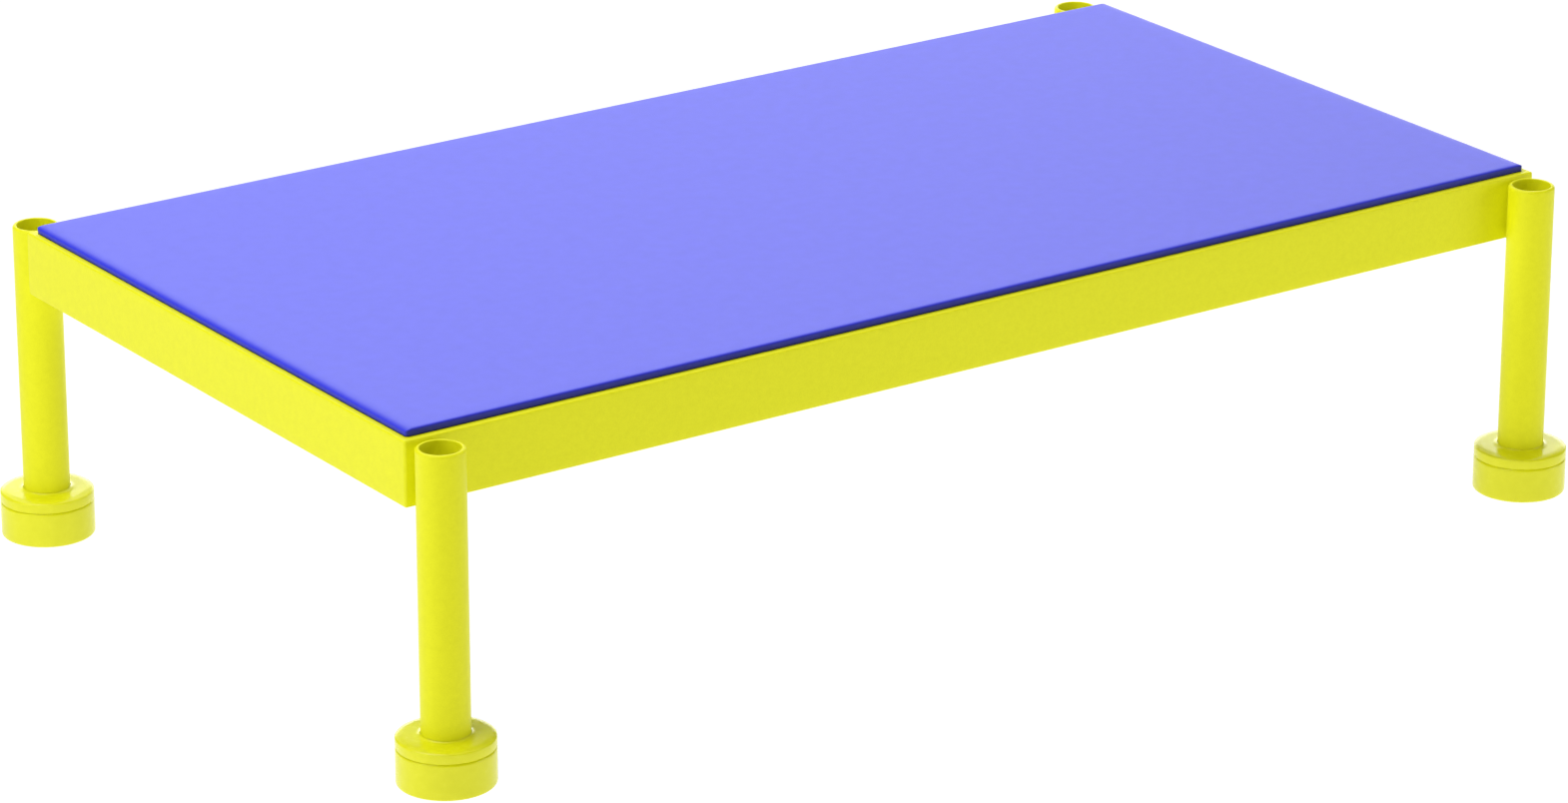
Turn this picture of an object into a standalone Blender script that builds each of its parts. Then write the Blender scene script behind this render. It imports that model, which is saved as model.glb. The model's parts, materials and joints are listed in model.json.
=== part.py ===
"""Rectangular junior trampoline: a welded tube frame on four legs, a jump mat on springs, and a cover pad.

Metres, +Z up. The origin is on the floor under the middle of the frame. X runs along the long sides,
and the front is -Y. Each side of the frame has an empty at the middle of its rail's outer face, turned
so that its own X runs along the rail and its own Y points inwards, and everything on that side hangs
from it. Where two pieces touch, a gap of touch_gap is left between them.
"""

import math

import bmesh
import bpy
from mathutils import Matrix, Vector

# Frame: four mitred rails of rectangular hollow section
frame_length = 1.465
frame_width = 0.770
frame_top = 0.3591
rail_height = 0.0705
rail_width = 0.040
rail_wall = 0.0025
rail_edge_radius = 0.003

# Legs: round tubes, open at the top, welded to the outer faces of the long rails
leg_diameter = 0.0508
leg_wall = 0.0045
leg_lip_outside = 0.0030
leg_lip_inside = 0.0008
leg_top_drop = 0.0031
leg_weld_gap = 0.0006
leg_end_inset = 0.0002

# Feet: a base that the leg stands in, and a collar above it, with a groove between them
foot_diameter = 0.1022
foot_base_height = 0.038
foot_groove_height = 0.003
foot_groove_depth = 0.005
foot_collar_height = 0.011
foot_floor = 0.006
foot_bottom_round = 0.0025
foot_base_top_round = 0.0015
foot_collar_round = 0.0035
foot_leg_clearance = 0.0003

# Springs: the coil's outer shape, with a hook of bare wire at each end
springs_per_long_side = 12
springs_per_end = 5
spring_span = 0.100
spring_coil_diameter = 0.014
spring_wire = 0.003
spring_axis_drop = 0.0078
hook_bend = 0.004
hook_tail = 0.0075
hook_reach = 0.008
shank_length = 0.0145
shoulder_length = 0.004

# Jump mat and its hem, which has a tab with an eye for each spring
mat_thickness = 0.002
hem_thickness = 0.0025
hem_width = 0.025
tab_width = 0.016
tab_length = 0.012
eye_radius = 0.0032
eye_to_hem = 0.006

# Cover pad: a thin border over the rails and springs, and thicker foam over the mat
pad_border_thickness = 0.0083
pad_inset = 0.0072

# Clearances and fineness
touch_gap = 0.0003
slot_clearance = 0.0015
turned_steps = 24
edge_steps = 2

# Worked out from the sizes above
leg_radius = leg_diameter / 2
foot_height = foot_base_height + foot_groove_height + foot_collar_height
spring_axis = frame_top - spring_axis_drop
mat_top = spring_axis - spring_wire / 2 - 0.0005
pad_bottom = frame_top + touch_gap
pad_top = pad_bottom + pad_border_thickness
row_line = rail_width - rail_wall / 2
hem_outer = rail_width + spring_span
hem_inner = hem_outer + hem_width
mat_edge = hem_inner + touch_gap
eye_line = hem_outer - eye_to_hem


def clear_scene():
    for old in list(bpy.data.objects):
        bpy.data.objects.remove(old, do_unlink=True)


def make_material(name, colour, roughness, metallic=0.0):
    material = bpy.data.materials.new(name)
    material.use_nodes = True
    shader = material.node_tree.nodes["Principled BSDF"]
    shader.inputs["Base Color"].default_value = (*colour, 1.0)
    shader.inputs["Roughness"].default_value = roughness
    shader.inputs["Metallic"].default_value = metallic
    material.diffuse_color = (*colour, 1.0)
    return material


def add_object(name, data, material, parent=None, location=(0.0, 0.0, 0.0)):
    obj = bpy.data.objects.new(name, data)
    bpy.context.scene.collection.objects.link(obj)
    obj.location = location
    obj.parent = parent
    if material is not None and not data.materials:
        data.materials.append(material)
    return obj


def mesh_from(bm, name, smooth_angle=None):
    bmesh.ops.recalc_face_normals(bm, faces=bm.faces)
    mesh = bpy.data.meshes.new(name)
    bm.to_mesh(mesh)
    bm.free()
    if smooth_angle is not None:
        mesh.shade_smooth()
        mesh.set_sharp_from_angle(angle=math.radians(smooth_angle))
    return mesh


def add_empty(name, location, turn=0.0, parent=None):
    empty = bpy.data.objects.new(name, None)
    bpy.context.scene.collection.objects.link(empty)
    empty.location = location
    empty.rotation_euler = (0.0, 0.0, turn)
    empty.parent = parent
    return empty


def cut(target, cutter_mesh, parent):
    """Takes the cutter's shape out of the target with a Boolean that stays live."""
    cutter = add_object(target.name + "_cutter", cutter_mesh, None, parent)
    cutter.hide_render = True
    cutter.display_type = "WIRE"
    modifier = target.modifiers.new("cut", "BOOLEAN")
    modifier.operation = "DIFFERENCE"
    modifier.solver = "EXACT"
    modifier.object = cutter


def arc(centre_r, centre_z, radius, start, end, steps):
    """Points of a round edge in a turned profile, from the start angle to the end angle in degrees."""
    angles = [math.radians(start + (end - start) * i / steps) for i in range(steps + 1)]
    return [(centre_r + radius * math.cos(a), centre_z + radius * math.sin(a)) for a in angles]


def turned(name, profile, closed_profile):
    """A solid of revolution round Z. A closed profile makes a ring, and an open one starts and ends on
    the axis."""
    bm = bmesh.new()
    points = [bm.verts.new((r, 0.0, z)) for r, z in profile]
    pairs = list(zip(points, points[1:]))
    if closed_profile:
        pairs.append((points[-1], points[0]))
    edges = [bm.edges.new(pair) for pair in pairs]
    bmesh.ops.spin(
        bm,
        geom=points + edges,
        cent=(0.0, 0.0, 0.0),
        axis=(0.0, 0.0, 1.0),
        angle=2 * math.pi,
        steps=turned_steps,
        use_merge=True,
    )
    bmesh.ops.remove_doubles(bm, verts=bm.verts, dist=1e-5)
    return mesh_from(bm, name, 40)


def boxes(name, centres, size):
    """One mesh of equal boxes at the centres given."""
    bm = bmesh.new()
    for centre in centres:
        place = Matrix.Translation(Vector(centre)) @ Matrix.Diagonal((*size, 1.0))
        bmesh.ops.create_cube(bm, size=1.0, matrix=place)
    return mesh_from(bm, name)


def plate(name, outline, bottom, top):
    """A flat plate from an outline in X and Y."""
    bm = bmesh.new()
    face = bm.faces.new([bm.verts.new((x, y, bottom)) for x, y in outline])
    raised = bmesh.ops.extrude_face_region(bm, geom=[face])
    risen = [item for item in raised["geom"] if isinstance(item, bmesh.types.BMVert)]
    bmesh.ops.translate(bm, verts=risen, vec=(0.0, 0.0, top - bottom))
    return mesh_from(bm, name)


def rounded_section(low_y, high_y, low_z, high_z, radius, steps):
    """The points round a rectangle in Y and Z whose corners are arcs."""
    corners = (
        (high_y - radius, high_z - radius, 0),
        (low_y + radius, high_z - radius, 90),
        (low_y + radius, low_z + radius, 180),
        (high_y - radius, low_z + radius, 270),
    )
    section = []
    for y, z, start in corners:
        section += arc(y, z, radius, start, start + 90, steps)
    return section


def rail_mesh(name, length):
    """A hollow rail whose ends are cut at 45 degrees, so that it is shorter on its inner face."""
    low = frame_top - rail_height
    inner_radius = max(rail_edge_radius - rail_wall, 0.0005)
    outside = rounded_section(0.0, rail_width, low, frame_top, rail_edge_radius, edge_steps)
    inside = rounded_section(
        rail_wall,
        rail_width - rail_wall,
        low + rail_wall,
        frame_top - rail_wall,
        inner_radius,
        edge_steps,
    )
    mitre_gap = touch_gap * math.sqrt(2) / 2
    bm = bmesh.new()
    rings = []
    for section in (outside, inside):
        for end in (-1, 1):
            rings.append([bm.verts.new((end * (length / 2 - y - mitre_gap), y, z)) for y, z in section])
    outer_start, outer_end, inner_start, inner_end = rings
    count = len(outside)
    walls = (
        (outer_start, outer_end),
        (inner_start, inner_end),
        (outer_start, inner_start),
        (outer_end, inner_end),
    )
    for a, b in walls:
        for i in range(count):
            j = (i + 1) % count
            bm.faces.new((a[i], a[j], b[j], b[i]))
    return mesh_from(bm, name, 40)


def spring_places(length, count):
    """Where the springs of one side lie along it, spread evenly along the hem."""
    pitch = (length - 2 * hem_outer) / count
    return [(i - (count - 1) / 2) * pitch for i in range(count)]


def hem_mesh(name, length, places, lift):
    """A webbing strip with mitred ends and a tab for each spring, in the row's own space."""
    mitre_gap = touch_gap * math.sqrt(2) / 2
    outer = hem_outer - row_line
    inner = hem_inner - row_line
    half_outer = length / 2 - hem_outer - mitre_gap
    half_inner = length / 2 - hem_inner - mitre_gap
    outline = [(half_outer, outer), (half_inner, inner), (-half_inner, inner), (-half_outer, outer)]
    for x in places:
        outline += [
            (x - tab_width / 2, outer),
            (x - tab_width / 2, outer - tab_length),
            (x + tab_width / 2, outer - tab_length),
            (x + tab_width / 2, outer),
        ]
    return plate(name, outline, lift - hem_thickness, lift)


def eye_cutter_mesh(name, places, lift):
    bm = bmesh.new()
    for x in places:
        place = Matrix.Translation((x, eye_line - row_line, lift - hem_thickness / 2))
        bmesh.ops.create_cone(
            bm,
            cap_ends=True,
            segments=8,
            radius1=eye_radius,
            radius2=eye_radius,
            depth=3 * hem_thickness,
            matrix=place,
        )
    return mesh_from(bm, name)


def spring_curve(name):
    """The outer shape of a spring as one tube of changing radius, from the tail of its rail hook to the
    tail of its mat hook, in the row's own space: Y runs inwards from the hook line and Z is up."""
    eye = eye_line - row_line
    mid = hook_bend * (1 - math.sqrt(0.5))
    wire = spring_wire / 2
    coil = spring_coil_diameter / 2
    coil_start = shank_length
    coil_end = eye - shank_length
    route = (
        (-hook_reach, -hook_tail, wire),
        (-hook_reach, -hook_bend, wire),
        (-hook_reach + mid, -mid, wire),
        (-hook_reach + hook_bend, 0.0, wire),
        (coil_start - shoulder_length, 0.0, wire),
        (coil_start, 0.0, coil),
        (coil_end, 0.0, coil),
        (coil_end + shoulder_length, 0.0, wire),
        (eye - hook_bend, 0.0, wire),
        (eye - mid, -mid, wire),
        (eye, -hook_bend, wire),
        (eye, -hook_tail, wire),
    )
    curve = bpy.data.curves.new(name, "CURVE")
    curve.dimensions = "3D"
    curve.bevel_depth = 1.0
    curve.bevel_resolution = 1
    curve.use_fill_caps = True
    spline = curve.splines.new("POLY")
    spline.points.add(len(route) - 1)
    for point, (y, z, radius) in zip(spline.points, route):
        point.co = (0.0, y, z, 1.0)
        point.radius = radius
    return curve


def pad_border_mesh(name, length):
    """A mitred strip of the cover over one rail and its springs."""
    mitre_gap = touch_gap * math.sqrt(2) / 2
    half_outer = length / 2 - pad_inset - mitre_gap
    half_inner = length / 2 - hem_inner - mitre_gap
    outline = [
        (-half_outer, pad_inset),
        (half_outer, pad_inset),
        (half_inner, hem_inner),
        (-half_inner, hem_inner),
    ]
    return plate(name, outline, pad_bottom, pad_top)


def centre_plate(name, edge, bottom, top):
    """A plate that stops at one distance inside all four sides of the frame."""
    half_x = frame_length / 2 - edge
    half_y = frame_width / 2 - edge
    outline = [(-half_x, -half_y), (half_x, -half_y), (half_x, half_y), (-half_x, half_y)]
    return plate(name, outline, bottom, top)


def build_side(side, length, half_across, turn, spring_count):
    """One side of the frame: its rail, its row of springs with their hem, and its strip of the cover."""
    outward = Vector((math.sin(turn), -math.cos(turn), 0.0)) * half_across
    base = add_empty("side_" + side, outward, turn)
    places = spring_places(length, spring_count)

    rail = add_object("rail_" + side, rail_mesh("rail_" + side, length), yellow_paint, base)
    slot_size = (
        spring_wire + 2 * slot_clearance,
        3 * rail_wall,
        spring_wire + 2 * hook_bend + 2 * slot_clearance,
    )
    slot_z = spring_axis + spring_wire / 2 + slot_clearance - slot_size[2] / 2
    slots = [(x, row_line, slot_z) for x in places]
    cut(rail, boxes("slots_" + side, slots, slot_size), base)

    row = add_empty("spring_row_" + side, (0.0, row_line, spring_axis), 0.0, base)
    lift = mat_top - spring_axis
    hem = add_object("hem_" + side, hem_mesh("hem_" + side, length, places, lift), black_webbing, row)
    cut(hem, eye_cutter_mesh("eyes_" + side, places, lift), row)
    for i, x in enumerate(places, 1):
        add_object(f"spring_{side}_{i:02d}", spring_shape, zinc_steel, row, (x, 0.0, 0.0))

    add_object("pad_" + side, pad_border_mesh("pad_" + side, length), blue_vinyl, base)


def build_leg(corner, x, y):
    """A leg tube with its foot, placed from an empty on the floor under the tube."""
    base = add_empty("leg_place_" + corner, (x, y, 0.0))
    inner = leg_radius - leg_wall
    low = foot_floor + touch_gap
    high = frame_top - leg_top_drop
    tube = [(inner, low), (leg_radius, low)]
    tube += arc(leg_radius - leg_lip_outside, high - leg_lip_outside, leg_lip_outside, 0, 90, edge_steps)
    tube += arc(inner + leg_lip_inside, high - leg_lip_inside, leg_lip_inside, 90, 180, 1)
    add_object("leg_" + corner, turned("leg_" + corner, tube, True), yellow_paint, base)

    foot_radius = foot_diameter / 2
    socket = leg_radius + foot_leg_clearance
    neck = foot_radius - foot_groove_depth
    neck_top = foot_base_height + foot_groove_height - touch_gap
    bottom = foot_bottom_round
    top = foot_base_top_round
    shell = [(0.0, 0.0)]
    shell += arc(foot_radius - bottom, bottom, bottom, -90, 0, edge_steps)
    shell += arc(foot_radius - top, foot_base_height - top, top, 0, 90, 1)
    shell += [(neck, foot_base_height), (neck, neck_top), (socket, neck_top)]
    shell += [(socket, foot_floor), (0.0, foot_floor)]
    add_object("foot_base_" + corner, turned("foot_base_" + corner, shell, False), yellow_foot, base)

    low = foot_base_height + foot_groove_height
    edge = foot_collar_round
    ring = [(socket, low), (foot_radius - 0.001, low), (foot_radius, low + 0.001)]
    ring += arc(foot_radius - edge, foot_height - edge, edge, 0, 90, edge_steps)
    ring += [(socket, foot_height)]
    add_object("foot_collar_" + corner, turned("foot_collar_" + corner, ring, True), yellow_foot, base)


clear_scene()
yellow_paint = make_material("yellow_powder_coat", (0.80, 0.78, 0.02), 0.45)
yellow_foot = make_material("yellow_moulded_foot", (0.83, 0.80, 0.03), 0.35)
blue_vinyl = make_material("blue_vinyl", (0.17, 0.19, 0.85), 0.50)
black_mat = make_material("black_mat_weave", (0.02, 0.02, 0.025), 0.80)
black_webbing = make_material("black_webbing", (0.03, 0.03, 0.03), 0.85)
zinc_steel = make_material("zinc_plated_steel", (0.62, 0.63, 0.65), 0.35, 1.0)

spring_shape = spring_curve("spring")
build_side("front", frame_length, frame_width / 2, 0.0, springs_per_long_side)
build_side("right", frame_width, frame_length / 2, math.pi / 2, springs_per_end)
build_side("rear", frame_length, frame_width / 2, math.pi, springs_per_long_side)
build_side("left", frame_width, frame_length / 2, -math.pi / 2, springs_per_end)

bed = add_empty("bed", (0.0, 0.0, mat_top))
mat = centre_plate("jump_mat", mat_edge, -mat_thickness, 0.0)
add_object("jump_mat", mat, black_mat, bed)
pad_centre = centre_plate("pad_centre", mat_edge, touch_gap, pad_top - mat_top)
add_object("pad_centre", pad_centre, blue_vinyl, bed)

leg_x = frame_length / 2 - leg_radius - leg_end_inset
leg_y = frame_width / 2 + leg_radius + leg_weld_gap
build_leg("front_left", -leg_x, -leg_y)
build_leg("front_right", leg_x, -leg_y)
build_leg("rear_left", -leg_x, leg_y)
build_leg("rear_right", leg_x, leg_y)
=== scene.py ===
"""Looks for the rectangular junior trampoline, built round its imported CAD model.

Metres, +Z up. Each side of the frame has a space of its own: x runs along the rail, y runs inwards
from the rail's outer face, and z is height.
"""

import json
import math

import bpy
import numpy as np
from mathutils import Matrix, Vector


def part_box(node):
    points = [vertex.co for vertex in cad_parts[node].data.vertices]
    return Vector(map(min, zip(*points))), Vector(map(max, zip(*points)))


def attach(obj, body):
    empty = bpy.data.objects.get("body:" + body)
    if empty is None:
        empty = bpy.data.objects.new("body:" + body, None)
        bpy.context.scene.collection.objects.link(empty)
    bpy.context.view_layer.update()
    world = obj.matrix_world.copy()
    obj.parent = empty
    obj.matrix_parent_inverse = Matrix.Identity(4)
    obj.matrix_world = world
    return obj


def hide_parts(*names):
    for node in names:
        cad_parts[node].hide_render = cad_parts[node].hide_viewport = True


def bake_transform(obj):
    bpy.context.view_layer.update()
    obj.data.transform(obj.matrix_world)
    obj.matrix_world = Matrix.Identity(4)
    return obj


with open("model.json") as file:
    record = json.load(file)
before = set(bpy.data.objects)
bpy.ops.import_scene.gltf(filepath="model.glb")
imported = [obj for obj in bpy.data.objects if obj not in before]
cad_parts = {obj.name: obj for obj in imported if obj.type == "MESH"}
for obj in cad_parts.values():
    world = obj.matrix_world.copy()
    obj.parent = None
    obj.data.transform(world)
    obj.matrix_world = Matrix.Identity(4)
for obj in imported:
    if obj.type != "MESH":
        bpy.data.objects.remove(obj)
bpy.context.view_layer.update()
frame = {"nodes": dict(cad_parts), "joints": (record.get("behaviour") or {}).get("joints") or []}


# ---------------------------------------------------------------- studio
# A floor that glows like lit white paper, a white room, two broad lamps overhead, a low white screen
# behind, a weak panel on each side, and a long lens that looks down at twenty degrees.

scene = bpy.context.scene
scene.view_settings.view_transform = "Standard"
scene.view_settings.look = "None"

azimuth = math.radians(-34.871)
elevation = math.radians(20.031)
aim = Vector((0.2672, 0.4307, 0.0))
distance = 7.3469
backwards = Vector(
    (
        math.sin(azimuth) * math.cos(elevation),
        -math.cos(azimuth) * math.cos(elevation),
        math.sin(elevation),
    )
)
lens = bpy.data.cameras.new("camera")
lens.lens = 142.25
lens.sensor_width = 36.0
lens.shift_x = 0.01153
lens.shift_y = -0.0314
lens.clip_end = 200.0
camera = bpy.data.objects.new("camera", lens)
camera.location = aim + backwards * distance
camera.rotation_euler = (-backwards).to_track_quat("-Z", "Y").to_euler()
scene.collection.objects.link(camera)
scene.camera = camera

room_strength = 0.085
room_seen = 1.1
paper_strength = 1.06
paper_seen = 1.0
world = bpy.data.worlds.new("room")
world.use_nodes = True
scene.world = world
tree = world.node_tree
background = tree.nodes["Background"]
background.inputs["Color"].default_value = (1.0, 1.0, 1.0, 1.0)
ray = tree.nodes.new("ShaderNodeLightPath")
strength = tree.nodes.new("ShaderNodeMix")
strength.data_type = "FLOAT"
strength.inputs[2].default_value = room_strength
strength.inputs[3].default_value = room_seen
tree.links.new(ray.outputs["Is Camera Ray"], strength.inputs[0])
tree.links.new(strength.outputs[0], background.inputs["Strength"])


def area_lamp(name, place, target, width, height, power):
    """A rectangular lamp at a place, turned to face the target."""
    data = bpy.data.lights.new(name, "AREA")
    data.shape = "RECTANGLE"
    data.size = width
    data.size_y = height
    data.energy = power
    lamp = bpy.data.objects.new(name, data)
    lamp.location = place
    lamp.rotation_euler = (Vector(target) - Vector(place)).to_track_quat("-Z", "Y").to_euler()
    scene.collection.objects.link(lamp)
    return lamp


area_lamp("overhead_left", (-2.1, -0.1, 3.9), (-0.2, 0.0, 0.3), 3.6, 3.6, 117.0)
area_lamp("overhead_rear", (1.0, 1.8, 3.9), (0.0, 0.0, 0.3), 4.6, 4.6, 102.0)
area_lamp("rear_screen", (3.6, 4.9, 1.15), (0.0, 0.0, 0.3), 7.0, 2.2, 185.0)
area_lamp("left_panel", (-4.5, -0.4, 1.2), (0.0, 0.0, 0.2), 4.0, 2.0, 28.0)
area_lamp("right_panel", (5.0, -4.7, 1.4), (0.0, 0.0, 0.2), 3.5, 2.0, 84.0)

floor_mesh = bpy.data.meshes.new("floor")
floor_half = 40.0
floor_mesh.from_pydata(
    [
        (-floor_half, -floor_half, 0.0),
        (floor_half, -floor_half, 0.0),
        (floor_half, floor_half, 0.0),
        (-floor_half, floor_half, 0.0),
    ],
    [],
    [(0, 1, 2, 3)],
)
floor = bpy.data.objects.new("floor", floor_mesh)
floor.location = (0.0, 0.0, -0.0005)
scene.collection.objects.link(floor)
paper = bpy.data.materials.new("floor_paper")
paper.use_nodes = True
paper_shader = paper.node_tree.nodes["Principled BSDF"]
paper_shader.inputs["Base Color"].default_value = (0.1, 0.1, 0.1, 1.0)
paper_shader.inputs["Roughness"].default_value = 1.0
paper_shader.inputs["Specular IOR Level"].default_value = 0.0
paper_shader.inputs["Emission Color"].default_value = (1.0, 1.0, 1.0, 1.0)
seen = paper.node_tree.nodes.new("ShaderNodeLightPath")
glow = paper.node_tree.nodes.new("ShaderNodeMix")
glow.data_type = "FLOAT"
glow.inputs[2].default_value = paper_strength
glow.inputs[3].default_value = paper_seen
paper.node_tree.links.new(seen.outputs["Is Camera Ray"], glow.inputs[0])
paper.node_tree.links.new(glow.outputs[0], paper_shader.inputs["Emission Strength"])
floor_mesh.materials.append(paper)


# ---------------------------------------------------------------- frame rails
# Four lengths of rectangular steel tube, mitred and welded into one frame and dressed smooth, so the
# corners stand as plain rounded edges. The inner walls are punched with a slot for each spring hook.

half_length = -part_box("rail_left")[0].x
half_width = -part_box("rail_front")[0].y
rail_low, rail_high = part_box("rail_front")
rail_top = rail_high.z
rail_bottom = rail_low.z
rail_width = rail_high.y - rail_low.y
rail_wall = 0.0025
rail_edge = 0.0020
corner_radius = 0.0030
face_crown = 0.0006
crown_width = 0.014
mitre_run = 0.006
straight_end = 0.02
inner_edge = 0.0006
edge_steps = 6
outer_hold = 0.0012
inner_hold = 0.0004

sides = {
    "front": (0.0, half_length, half_width),
    "right": (math.pi / 2, half_width, half_length),
    "rear": (math.pi, half_length, half_width),
    "left": (-math.pi / 2, half_width, half_length),
}
joints = {joint["name"]: joint for joint in frame["joints"]}
hook_height = joints["spring_row_front_tilt"]["pos_m"][2]
hook_line = half_width + joints["spring_row_front_tilt"]["pos_m"][1]


def on_side(points, side):
    """Points from a side's own space to the row frame: a turn about Z and a step out to the rail."""
    turn, _, across = sides[side]
    x, y, z = points[..., 0], points[..., 1] - across, points[..., 2]
    c, s = math.cos(turn), math.sin(turn)
    return np.stack([x * c - y * s, x * s + y * c, z], axis=-1)


def spring_names(side):
    """The CAD springs of one side, in order along it."""
    return sorted(name for name in frame["nodes"] if name.startswith("spring_" + side))


def spring_places(side):
    """How far along its side each spring lies, from the middles of the CAD springs."""
    turn, _, _ = sides[side]
    places = []
    for name in spring_names(side):
        low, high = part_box(name)
        middle = (low + high) / 2
        places.append(middle.x * math.cos(turn) + middle.y * math.sin(turn))
    return np.sort(np.array(places))


def grid_faces(rows, columns, wrap_rows=False, wrap_columns=False, start=0, keep=None):
    """Quads between neighbouring points of a rows by columns grid whose first point is number start."""
    i = np.arange(rows if wrap_rows else rows - 1)[:, None]
    j = np.arange(columns if wrap_columns else columns - 1)[None, :]
    i2, j2 = (i + 1) % rows, (j + 1) % columns
    quads = np.stack(
        [i * columns + j, i2 * columns + j, i2 * columns + j2, i * columns + j2], axis=-1
    )
    if keep is not None:
        quads = quads[keep]
    return quads.reshape(-1, 4) + start


def make_piece(name, points, faces, material, smooth=40.0, flip=False):
    """A mesh object from an array of points and a list of face arrays, shaded smooth below an angle."""
    mesh = bpy.data.meshes.new(name)
    every = [tuple(face) for block in faces for face in np.asarray(block).tolist()]
    if flip:
        every = [face[::-1] for face in every]
    mesh.from_pydata(np.asarray(points, float).reshape(-1, 3).tolist(), [], every)
    mesh.validate()
    mesh.shade_smooth()
    mesh.set_sharp_from_angle(angle=math.radians(smooth))
    mesh.materials.append(material)
    piece = bpy.data.objects.new(name, mesh)
    scene.collection.objects.link(piece)
    return piece


def new_material(name):
    """A node material, its tree and its Principled shader."""
    material = bpy.data.materials.new(name)
    material.use_nodes = True
    return material, material.node_tree, material.node_tree.nodes["Principled BSDF"]


def add_node(tree, kind, **values):
    """A node with its inputs set by name or number."""
    node = tree.nodes.new(kind)
    for key, value in values.items():
        if hasattr(node, key):
            setattr(node, key, value)
        else:
            node.inputs[key.replace("_", " ")].default_value = value
    return node


def new_group(name, inputs, outputs):
    """An empty shader group with number sockets of these names, and its two end nodes."""
    group = bpy.data.node_groups.new(name, "ShaderNodeTree")
    for way, names in (("INPUT", inputs), ("OUTPUT", outputs)):
        for socket in names:
            group.interface.new_socket(socket, in_out=way, socket_type="NodeSocketFloat")
    return group, group.nodes.new("NodeGroupInput"), group.nodes.new("NodeGroupOutput")


def make_grain_group():
    """Fine random grain: two octaves of noise on Object coordinates, as a height and a tint from 0 to 1."""
    scales = ("Fine scale", "Broad scale")
    group, inside, outside = new_group("surface_grain", scales, ("Height", "Tint"))
    place = group.nodes.new("ShaderNodeTexCoord")
    fine = add_node(group, "ShaderNodeTexNoise", Detail=3.0, Roughness=0.6)
    broad = add_node(group, "ShaderNodeTexNoise", Detail=2.0, Roughness=0.5)
    mix = add_node(group, "ShaderNodeMix", data_type="FLOAT")
    mix.inputs[0].default_value = 0.35
    group.links.new(place.outputs["Object"], fine.inputs["Vector"])
    group.links.new(place.outputs["Object"], broad.inputs["Vector"])
    group.links.new(inside.outputs["Fine scale"], fine.inputs["Scale"])
    group.links.new(inside.outputs["Broad scale"], broad.inputs["Scale"])
    group.links.new(fine.outputs["Fac"], mix.inputs[2])
    group.links.new(broad.outputs["Fac"], mix.inputs[3])
    group.links.new(fine.outputs["Fac"], outside.inputs["Height"])
    group.links.new(mix.outputs[0], outside.inputs["Tint"])
    return group


grain_group = make_grain_group()


def add_grain(tree, fine, broad):
    """The grain group placed in a material, with its own two scales."""
    node = tree.nodes.new("ShaderNodeGroup")
    node.node_tree = grain_group
    node.inputs["Fine scale"].default_value = fine
    node.inputs["Broad scale"].default_value = broad
    return node


def tinted(tree, factor, low, high, spread=(0.35, 0.65)):
    """A colour that runs from low to high as the factor crosses the spread."""
    ramp = tree.nodes.new("ShaderNodeValToRGB")
    ramp.color_ramp.elements[0].position = spread[0]
    ramp.color_ramp.elements[0].color = (*low, 1.0)
    ramp.color_ramp.elements[1].position = spread[1]
    ramp.color_ramp.elements[1].color = (*high, 1.0)
    tree.links.new(factor, ramp.inputs["Fac"])
    return ramp.outputs["Color"]


def ranged(tree, factor, low, high):
    """A number that runs from low to high as the factor runs from 0 to 1."""
    node = add_node(tree, "ShaderNodeMapRange")
    node.inputs["To Min"].default_value = low
    node.inputs["To Max"].default_value = high
    tree.links.new(factor, node.inputs["Value"])
    return node.outputs["Result"]


def bump(tree, shader, height, distance, strength):
    """Lets a height turn the shader's normal, over a depth in metres and at a strength."""
    node = add_node(tree, "ShaderNodeBump", Distance=distance, Strength=strength)
    tree.links.new(height, node.inputs["Height"])
    tree.links.new(node.outputs["Normal"], shader.inputs["Normal"])


def yellow_finish(name, low, high, roughness, specular, fine, broad, depth):
    """Yellow paint or plastic: a slightly mottled colour, uneven gloss and a fine orange peel."""
    material, tree, shader = new_material(name)
    grain = add_grain(tree, fine, broad)
    tree.links.new(tinted(tree, grain.outputs["Tint"], low, high), shader.inputs["Base Color"])
    rough = ranged(tree, grain.outputs["Tint"], roughness - 0.06, roughness + 0.06)
    tree.links.new(rough, shader.inputs["Roughness"])
    shader.inputs["Specular IOR Level"].default_value = specular
    bump(tree, shader, grain.outputs["Height"], depth, 0.35)
    return material


powder_coat = yellow_finish(
    "yellow_powder_coat",
    low=(0.86, 0.86, 0.004),
    high=(0.93, 0.93, 0.010),
    roughness=0.44,
    specular=0.22,
    fine=900.0,
    broad=140.0,
    depth=0.00012,
)


def rounded_section(low_y, high_y, low_z, high_z, radius, hold, inner_marks):
    """Points round a rectangle whose corners are quarter circles: four arcs, each after a held point on
    the flat before it, with extra points up the high-y face at the marked heights and up the low-y face
    near both of its edges."""
    angles = np.radians(np.linspace(0.0, 90.0, edge_steps + 1))

    def corner(y, z, start):
        turn = angles + math.radians(start)
        return np.stack([y + radius * np.cos(turn), z + radius * np.sin(turn)], axis=-1)

    from_edge = np.linspace(radius + hold, crown_width, 6)
    face_heights = np.concatenate([high_z - from_edge, (low_z + from_edge)[::-1]])
    parts = [
        np.array([(high_y, z) for z in inner_marks]),
        np.array([(high_y, high_z - radius - hold)]),
        corner(high_y - radius, high_z - radius, 0),
        np.array([(high_y - radius - hold, high_z), (low_y + radius + hold, high_z)]),
        corner(low_y + radius, high_z - radius, 90),
        np.stack([np.full(len(face_heights), low_y), face_heights], axis=-1),
        corner(low_y + radius, low_z + radius, 180),
        np.array([(low_y + radius + hold, low_z), (high_y - radius - hold, low_z)]),
        corner(high_y - radius, low_z + radius, 270),
        np.array([(high_y, low_z + radius + hold)]),
    ]
    return np.concatenate(parts)


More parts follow.
